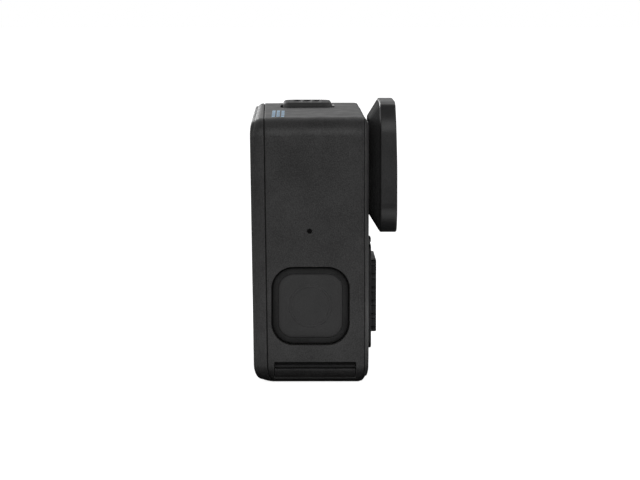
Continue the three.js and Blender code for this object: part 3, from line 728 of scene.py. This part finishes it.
def make_lens():
    """The barrel, its threaded ring and the domed front element."""
    barrel = [(6.95, -12.0), (6.86, -12.14), (6.7, -12.2), (6.1, -12.2), (5.95, -12.1), (5.95, -9.6)]
    barrel += [(5.2, -9.6), (5.2, -7.0)]
    barrel += [(4.6, -7.0), (4.6, -3.6), (3.6, -3.6), (3.6, 0.4), (6.0, 0.4), (6.0, -2.6), (6.95, -3.0)]
    tube = lathe_y("barrel_tube", barrel, LENS_X, LENS_Z)
    finish_piece(tube, "camera_body", LENS_BLACK, ["lens_barrel"], angle=30)
    ring = [(5.92, -10.85), (5.92, -11.95), (5.8, -12.1), (5.66, -12.1), (5.56, -11.9)]
    ring += [(5.46, -11.9), (5.4, -11.6), (5.3, -11.5), (5.3, -10.85)]
    retaining = lathe_y("retaining_ring", ring, LENS_X, LENS_Z)
    finish_piece(retaining, "camera_body", LENS_BLACK, ["lens_retaining_ring"], angle=30)
    front = [(5.9 * k / 12, -11.85 + 1.4 * (k / 12) ** 2) for k in range(13)]
    back = [(5.9 * k / 12, -9.62 - 0.3 * (k / 12) ** 2) for k in range(12, -1, -1)]
    element = lathe_y("front_lens", [(max(r, 0.0), y) for r, y in front + back], LENS_X, LENS_Z)
    finish_piece(element, "camera_body", LENS_GLASS, ["lens_front_element"], angle=50)


def make_power_button():
    """A pillowed square key with an engraved circle."""
    rings = []
    pillow = [(-35.1, 0.0), (-35.34, 0.0), (-35.42, 0.04), (-35.5, 0.13)]
    pillow += [(-35.58, 0.3), (-35.64, 0.52), (-35.69, 0.85), (-35.72, 1.4)]
    for x, inset in pillow:
        size, radius = PAD_SIZE - 2 * inset, max(1.2, 2.9 - 0.6 * inset)
        rings.append(along_x(rounded_rect(size, size, radius, PAD_Y, PAD_Z, arc=12), x))
    pad = loft("power_pad", rings)
    section = [(3.5, -35.8), (4.2, -35.8), (4.16, -35.68), (4.1, -35.65)]
    section += [(4.02, -35.68), (3.68, -35.68), (3.6, -35.65), (3.54, -35.68)]
    groove = []
    for k in range(96):
        a = 2 * math.pi * k / 96
        groove.append([(x, PAD_Y + r * math.cos(a), PAD_Z + r * math.sin(a)) for r, x in section])
    boolean(pad, [loft("groove", groove, loop=True)])
    stem = rod_x("stem", PAD_Y, PAD_Z, 2.0, -35.2, -33.3)
    boolean(pad, [stem], "UNION")
    return finish_piece(pad, "power_key", BUTTON, ["power_button"], angle=30)


def flat_ring(name, outlines):
    """A closed ring with an inner and an outer outline; outlines are (x, size, corner radius)."""
    rings = [along_x(rounded_rect(size, size, radius, PAD_Y, PAD_Z, arc=12), x) for x, size, radius in outlines]
    return loft(name, rings, loop=True)


def make_recess_trim():
    """The darker ring round the key, and near-black floors deep in the side openings that are painted shade."""
    steps = [(-34.85, 14.3, 3.9), (-35.0, 14.3, 3.9), (-35.1, 14.12, 3.85), (-35.2, 13.7, 3.65), (-35.3, 13.1, 3.4)]
    steps += [(-35.38, 12.6, 3.1), (-35.38, 12.34, 2.96), (-34.85, 12.34, 2.96)]
    finish_piece(flat_ring("key_surround", steps), "camera_body", SURROUND, angle=30)
    # A near-black ring on the recess floor round the key: painted shade.
    floor_shade = [(-34.5, 14.9, 4.18), (-34.56, 14.9, 4.18), (-34.56, 12.6, 3.0), (-34.5, 12.6, 3.0)]
    finish_piece(flat_ring("key_floor_shade", floor_shade), "camera_body", PAINTED_SHADE, angle=30)
    # A near-black disc inside the microphone hole: painted shade.
    plug = rod_x("microphone_hole_shade", MIC_Y, MIC_Z, 0.49, -35.25, -35.15, 24)
    finish_piece(plug, "camera_body", PAINTED_SHADE, angle=30)
    # A near-black sheet on the floor of the low slot: painted shade.
    slot = loft("grille_floor_shade", [along_x(rect_between(-6.1, 9.45, 1.3, 4.15, 0.2, arc=4), x) for x in (-34.78, -34.71)])
    finish_piece(slot, "camera_body", PAINTED_SHADE, angle=30)


def make_shutter_button():
    """The raised oblong key with three shallow scoops."""
    rings = []
    dome = [(49.56, 0.1), (49.7, 0.0), (51.0, 0.0), (51.3, 0.05), (51.52, 0.15)]
    dome += [(51.68, 0.3), (51.77, 0.5), (SHUTTER_TOP, 0.8), (SHUTTER_TOP, 1.2)]
    for z, inset in dome:
        radius = max(1.2, 2.3 - 0.6 * inset)
        rings.append(along_z(rounded_rect(16 - 2 * inset, 10 - 2 * inset, radius, KEY_X, KEY_Y, arc=12), z))
    cap = loft("shutter_cap", rings)
    stations = [(-6.4, 0.62), (-6.2, 0.3), (-5.8, 0.1), (-5.2, 0.0), (5.2, 0.0), (5.8, 0.1), (6.2, 0.3), (6.4, 0.62)]
    turns = [2 * math.pi * i / 32 for i in range(32)]
    scoops = []
    for k in range(3):
        y = KEY_Y + 1.95 * (k - 1)
        rings = []
        for along, shrink in stations:
            r = 1.6 * (1 - shrink * 0.12)
            x = KEY_X + along
            rings.append([(x, y + r * math.cos(a), SHUTTER_TOP + 1.3 + r * math.sin(a)) for a in turns])
        scoops.append(loft(f"scoop_{k}", rings))
    boolean(cap, scoops)
    stem = rod_z("stem", KEY_X, KEY_Y, 1.85, 46.6, 50.0)
    boolean(cap, [stem], "UNION")
    return finish_piece(cap, "shutter_key", BUTTON, ["shutter_button"], angle=30)


def bar_y(name, section, y0, y1, soft=0.12):
    """A bar along Y with softened ends; the section is a list of (x, z)."""
    cx = sum(p[0] for p in section) / len(section)
    cz = sum(p[1] for p in section) / len(section)
    rings = []
    stations = [(y0, 0.94), (y0 + soft * 0.4, 0.985), (y0 + soft, 1.0)]
    stations += [(y1 - soft, 1.0), (y1 - soft * 0.4, 0.985), (y1, 0.94)]
    for y, scale in stations:
        rings.append([(cx + (x - cx) * scale, y, cz + (z - cz) * scale) for x, z in section])
    return loft(name, rings)


def make_speaker_cover():
    """The bar low on the side and the lip of the slot above it."""
    section = [(-34.9, 1.2), (-34.9, 2.9), (-35.58, 2.9), (-35.7, 2.86), (-35.79, 2.77)]
    for k in range(9):
        z = 2.6 - k * (2.6 - 1.12) / 8
        reach = math.sqrt(max(0.0, CORNER_R**2 - (CORNER_R - z) ** 2))
        section.append((-HALF_W + CORNER_R - reach, z))
    bar = bar_y("grille_bar", section, -5.97, 9.32)
    finish_piece(bar, "camera_body", SHELL, ["speaker_cover"], angle=30)
    ledge = [(-34.8, 3.02), (-34.8, 3.62), (-35.2, 3.62), (-35.36, 3.56), (-35.42, 3.42)]
    ledge += [(-35.42, 3.16), (-35.36, 3.06), (-35.25, 3.02)]
    finish_piece(bar_y("grille_ledge", ledge, -5.95, 9.3), "camera_body", RUBBER, angle=30)


def make_door():
    """The side door on its knuckle, and its sliding latch."""
    section = [(34.0, 4.7), (34.2, 4.5), (35.65, 4.5), (35.79, 4.56), (35.85, 4.7)]
    for k in range(17):
        a = math.radians(180 * k / 16)
        section.append((HINGE_X + HINGE_R * math.cos(a), HINGE_Z + HINGE_R * math.sin(a)))
    door = bar_y("door_panel", section, -5.9, 8.9, 0.2)
    pocket = []
    for x, g in ((34.9, 0.0), (35.74, 0.0), (35.82, 0.08), (36.2, 0.3)):
        pocket.append(along_x(rect_between(-2.5 - g, 5.5 + g, 6.0 - g, 12.5 + g, 0.7 + g, arc=6), x))
    boolean(door, [loft("pocket", pocket), rod_y("pin", HINGE_X, HINGE_Z, 0.5, -10, 12, 24)])
    finish_piece(door, "door", SHELL, ["battery_door"], angle=30)
    outline = []
    for x, inset in ((34.95, 0.06), (35.02, 0.0), (35.66, 0.0), (35.76, 0.05), (35.82, 0.16)):
        outline.append(along_x(rect_between(-2.2 + inset, 5.2 - inset, 6.3 + inset, 10.7 - inset, 0.6, arc=6), x))
    latch = loft("latch_tab", outline)
    grips = []
    for k in range(4):
        z = 7.3 + 0.8 * k
        slot = []
        for x, g in ((35.9, -0.06), (35.78, 0.0), (35.5, 0.06)):
            slot.append(along_x(rect_between(-1.5 + g, 4.5 - g, z - 0.2 + g, z + 0.2 - g, 0.1, arc=3), x))
        grips.append(loft(f"g{k}", slot))
    boolean(latch, grips)
    finish_piece(latch, "latch", BUTTON, ["door_latch"], angle=30)


def make_base():
    """The tray under the body that the mount fingers fold into."""
    rings = []
    for z, inset in ((5.6, 0.1), (5.5, 0.0), (0.16, 0.0), (0.05, 0.05), (0.0, 0.18)):
        rings.append(along_z(rect_between(-26 + inset, 26 - inset, -6.7 + inset, 9.6 - inset, 1.5, arc=8), z))
    plate = loft("base_tray", rings)
    well = []
    for z, g in ((-1.0, 0.3), (0.0, 0.08), (0.1, 0.0), (3.2, 0.0), (3.4, 0.0)):
        well.append(along_z(rect_between(-24.25 - g, 24.25 + g, -5.9 - g, 9.1 + g, 7.2, arc=16), z))
    trench = [along_z(rect_between(-6.4, 6.4, -5.9, 9.1, 0.6, arc=4), z) for z in (-1.0, 4.85)]
    boolean(plate, [loft("well", well), loft("trench", trench)])
    finish_piece(plate, "camera_body", BASE, ["base_plate"], angle=30)


def make_finger(side, body, node):
    """One folding mount finger with its knuckle and cross bore."""
    hinge, pivot, thick, reach, radius, cy = 4.6, 3.15, 3.0, 24.0, 7.3, 1.6

    def outline(inset):
        points = [(hinge + inset * 0.2, cy - radius + inset)]
        for k in range(25):
            a = math.radians(-90 + 180 * k / 24)
            points.append((reach - radius + (radius - inset) * math.cos(a), cy + (radius - inset) * math.sin(a)))
        points.append((hinge + inset * 0.2, cy + radius - inset))
        return points

    rings = []
    top, bottom = pivot, pivot - thick
    levels = [(top, 0.2), (top - 0.08, 0.05), (top - 0.25, 0.0)]
    levels += [(bottom + 0.25, 0.0), (bottom + 0.08, 0.05), (bottom, 0.2)]
    for z, inset in levels:
        rings.append(along_z(outline(inset), z))
    plate = loft(f"mount_{node}", rings)
    knuckle = rod_y("knuckle", hinge, pivot, 1.45, cy - radius + 0.05, cy + radius - 0.05, 40)
    boolean(plate, [knuckle], "UNION")
    bore = []
    for z, g in ((-1, 0.5), (0.1, 0.22), (0.3, 0.0), (3.0, 0.0), (3.2, 0.22), (5, 0.5)):
        bore.append(along_z(circle(16.7, cy, 2.5 + g, 48), z))
    boolean(plate, [loft("bore", bore), rod_y("pin", hinge, pivot, 0.75, -10, 12, 24)])
    if side < 0:
        for v in plate.data.vertices:
            v.co.x = -v.co.x
        plate.data.flip_normals()
    finish_piece(plate, body, FINGER, [node], angle=30)


# length and following gap of the printed dashes
MARK_BARS = ((5.6, 1.9), (2.1, 0.9), (3.8, 1.3), (1.5, 1.6), (4.7, 1.0), (2.6, 1.4))


def make_top_mark():
    """Three rows of plain printed dashes on the top, near its rear edge."""
    parts = []
    for row, first in ((-0.9, -31.0), (0.0, -29.6), (0.9, -30.4)):
        x = first
        for k, (length, gap) in enumerate(MARK_BARS[::-1] if row == 0.0 else MARK_BARS):
            bar = rounded_rect(length, 0.62, 0.22, x + length / 2, 8.75 + row, arc=5)
            parts.append(loft(f"mark_bar_{k}", [along_z(bar, 50.5), along_z(bar, 50.735)]))
            x += length + gap
    mark = join("top_mark", parts)
    finish_piece(mark, "camera_body", MARK, angle=30)


def make_rear_seam_shade():
    """A near-black ring that closes the depth of the rear seam: painted shade."""
    rings = formed([(11.31, 1.5), (11.31, 0.2), (11.47, 0.2), (11.47, 1.5)])
    finish_piece(loft("rear_seam_shade", rings, loop=True), "camera_body", PAINTED_SHADE, angle=30)


MAKERS = [make_main_housing, make_front_cover, make_rear_cover, make_rear_glass, make_front_glass, make_heat_sink]
MAKERS += [make_lens_guard, make_guard_glass, make_lens, make_power_button, make_recess_trim, make_shutter_button]
MAKERS += [make_speaker_cover, make_door, make_base]
for make in MAKERS:
    make()
make_finger(1, "finger_r", "finger_right")
make_finger(-1, "finger_l", "finger_left")
make_top_mark()
make_rear_seam_shade()

# ------------------------------------------------------------------ the carried CAD nodes' finishes

SLOT_MATERIALS = {
    "shell": SHELL,
    "cover": COVER,
    "base": BASE,
    "button": BUTTON,
    "guard_metal": GUARD,
    "sink_metal": SINK,
    "finger_metal": FINGER,
    "steel": STEEL,
    "can_metal": CAN,
    "lens_black": LENS_BLACK,
    "screen_glass": SCREEN,
    "guard_glass": GUARD_GLASS,
    "lens_glass": LENS_GLASS,
    "light_window": GUARD_GLASS,
    "rubber": RUBBER,
    "board": BOARD,
    "battery": BATTERY,
    "tab": TAB,
    "sensor": SENSOR,
    "display": DISPLAY,
    "card": BASE,
}
for entry in frame["record"]["subparts"]:
    node = NODES[entry["node"]]
    node.data.materials.clear()
    node.data.materials.append(SLOT_MATERIALS[entry["material_slot"]])

# ------------------------------------------------------------------ floor, light and camera


def make_floor():
    """A pale floor: white where it is seen, but as a light it is dark near the object."""
    bpy.ops.mesh.primitive_plane_add(size=8.0, location=(0, 0, -0.00002))
    floor = bpy.context.object
    floor.name = "studio_floor"
    n = Nodes("pale_floor")
    tree = n.tree
    seen = tree.nodes.new("ShaderNodeEmission")
    seen.inputs["Color"].default_value = (1, 1, 1, 1)
    seen.inputs["Strength"].default_value = 0.9
    pale = tree.nodes.new("ShaderNodeBsdfDiffuse")
    pale.inputs["Color"].default_value = (0.6, 0.6, 0.6, 1)
    both = tree.nodes.new("ShaderNodeAddShader")
    n.link(seen.outputs[0], both.inputs[0])
    n.link(pale.outputs[0], both.inputs[1])
    dim = tree.nodes.new("ShaderNodeEmission")
    away = tree.nodes.new("ShaderNodeVectorMath")
    away.operation = "LENGTH"
    n.link(n.coords, away.inputs[0])
    # As a light the floor glows in a ring: painted shadow close round the object, a painted band of light beyond it
    # that fades farther out.
    rise = n.ramp(away.outputs["Value"], 0.038, 0.066, 0.015, 1.0)
    fall = n.ramp(away.outputs["Value"], 0.07, 0.125, 1.0, 0.1)
    n.link(n.math("MULTIPLY", rise, fall), dim.inputs["Strength"])
    path = tree.nodes.new("ShaderNodeLightPath")
    mix = tree.nodes.new("ShaderNodeMixShader")
    n.link(path.outputs["Is Camera Ray"], mix.inputs[0])
    n.link(dim.outputs[0], mix.inputs[1])
    n.link(both.outputs[0], mix.inputs[2])
    n.link(mix.outputs[0], tree.nodes["Material Output"].inputs["Surface"])
    tree.nodes.remove(n.shader)
    floor.data.materials.append(n.material)


def area_light(name, location, target, size, energy):
    """A soft rectangular light that faces the target."""
    data = bpy.data.lights.new(name, "AREA")
    data.shape = "RECTANGLE"
    data.size, data.size_y = size
    data.energy = energy
    light = bpy.data.objects.new(name, data)
    light.location = location
    light.rotation_euler = (Vector(target) - Vector(location)).to_track_quat("-Z", "Y").to_euler()
    bpy.context.scene.collection.objects.link(light)


AMBIENT = 0.24
# direction, cosine where a panel starts and is full, strength
SOFTBOXES = [
    ((-1.0, 0.0, -0.05), 0.30, 0.95, 0.2),
    ((-0.91, 0.0, 0.41), 0.87, 0.98, 0.95),
    ((0.80, 0.1, 0.56), 0.82, 0.92, 0.34),
    ((0.1, 0.99, 0.10), 0.65, 0.97, 1.15),
    ((-0.1, -0.99, 0.10), 0.65, 0.97, 1.05),
]


def make_world():
    """White to the eye; as a light it is a dim room with a few soft, wide panels."""
    world = bpy.data.worlds.new("studio")
    bpy.context.scene.world = world
    world.use_nodes = True
    tree = world.node_tree
    dim = tree.nodes["Background"]
    coords = tree.nodes.new("ShaderNodeTexCoord").outputs["Generated"]
    total = None
    for direction, start, end, strength in SOFTBOXES:
        dot = tree.nodes.new("ShaderNodeVectorMath")
        dot.operation = "DOT_PRODUCT"
        tree.links.new(coords, dot.inputs[0])
        dot.inputs[1].default_value = Vector(direction).normalized()
        panel = tree.nodes.new("ShaderNodeMapRange")
        panel.interpolation_type = "SMOOTHSTEP"
        panel.inputs["From Min"].default_value = start
        panel.inputs["From Max"].default_value = end
        panel.inputs["To Min"].default_value = 0.0
        panel.inputs["To Max"].default_value = strength
        tree.links.new(dot.outputs["Value"], panel.inputs["Value"])
        add = tree.nodes.new("ShaderNodeMath")
        add.operation = "ADD"
        tree.links.new(panel.outputs["Result"], add.inputs[0])
        if total:
            tree.links.new(total, add.inputs[1])
        else:
            add.inputs[1].default_value = AMBIENT
        total = add.outputs["Value"]
    tree.links.new(total, dim.inputs["Strength"])
    dim.inputs["Color"].default_value = (1, 1, 1, 1)
    white = tree.nodes.new("ShaderNodeBackground")
    white.inputs["Color"].default_value = (1, 1, 1, 1)
    white.inputs["Strength"].default_value = 1.0
    path = tree.nodes.new("ShaderNodeLightPath")
    mix = tree.nodes.new("ShaderNodeMixShader")
    tree.links.new(path.outputs["Is Camera Ray"], mix.inputs[0])
    tree.links.new(dim.outputs[0], mix.inputs[1])
    tree.links.new(white.outputs[0], mix.inputs[2])
    tree.links.new(mix.outputs[0], tree.nodes["World Output"].inputs["Surface"])


make_floor()
make_world()
area_light("rear_strip", (0.14, 0.06, 0.085), (0, 0.012, 0.05), (0.05, 0.05), 0.037)

EYE = (-0.5929, 0.0058, 0.07702)
AIM = (2913.7, -26.4, -258.8)
camera_data = bpy.data.cameras.new("view")
camera_data.sensor_width = 36.0
camera_data.lens = 165.45
camera_data.clip_start = 0.01
camera = bpy.data.objects.new("view", camera_data)
camera.location = EYE
camera.rotation_euler = Vector(AIM).to_track_quat("-Z", "Y").to_euler()
bpy.context.scene.collection.objects.link(camera)
bpy.context.scene.camera = camera
bpy.context.scene.view_settings.view_transform = "Standard"
